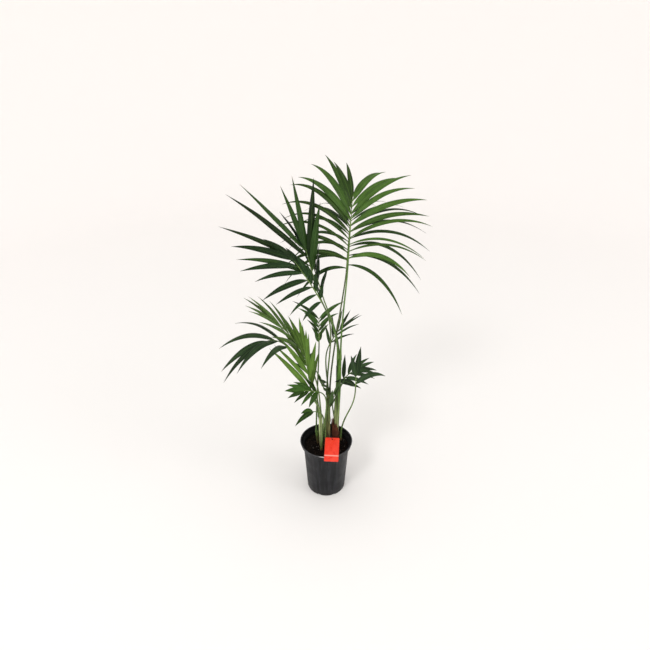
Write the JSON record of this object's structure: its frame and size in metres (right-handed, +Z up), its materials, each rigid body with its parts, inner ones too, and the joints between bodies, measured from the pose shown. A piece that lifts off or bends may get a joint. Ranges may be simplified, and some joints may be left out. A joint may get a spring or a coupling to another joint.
{
  "type": "potted kentia palm",
  "caption": "Clump of kentia palm seedlings with arching feather fronds on thin stalks, growing from a filled plastic nursery pot with a bare hang tag.",
  "frame": {"origin": "centre of the pot's flat underside, on the surface it stands on", "axes": "+Z up; +X to the right and +Y to the back as the plant is looked at, with the hang tag at the front"},
  "size_m": [0.7393, 0.7475, 1.2914],
  "materials": {
    "pot": "charcoal moulded plastic with a satin surface",
    "soil": "dark, moist potting soil of peat and bark chips",
    "tag": "smooth orange-red plastic sheet, bare",
    "loop": "thin dark elastic",
    "stems": "living leaf bases, green to pale and brown at the foot",
    "stalks": "smooth living green stalk",
    "fronds": "living leaf blades with a soft satin sheen"
  },
  "bodies": {
    "root": {"frond_back": "fronds", "frond_behind": "fronds", "frond_centre": "fronds", "frond_inner_left": "fronds", "frond_left": "fronds", "frond_low_front": "fronds", "frond_low_left": "fronds", "frond_lowest": "fronds", "frond_mid_front": "fronds", "frond_mid_left": "fronds", "frond_right_low": "fronds", "frond_right_mid": "fronds", "frond_small_front": "fronds", "frond_top": "fronds", "frond_top_back": "fronds", "frond_upper_left": "fronds", "frond_young": "fronds", "pot": "pot", "soil": "soil", "stalk_back": "stalks", "stalk_behind": "stalks", "stalk_centre": "stalks", "stalk_inner_left": "stalks", "stalk_left": "stalks", "stalk_low_front": "stalks", "stalk_low_left": "stalks", "stalk_lowest": "stalks", "stalk_mid_front": "stalks", "stalk_mid_left": "stalks", "stalk_right_low": "stalks", "stalk_right_mid": "stalks", "stalk_small_front": "stalks", "stalk_top": "stalks", "stalk_top_back": "stalks", "stalk_upper_left": "stalks", "stalk_young": "stalks", "stem_left": "stems", "stem_middle": "stems", "stem_pale": "stems", "stem_right": "stems", "tag": "tag", "tag_loop": "loop"}
  },
  "joints": []
}
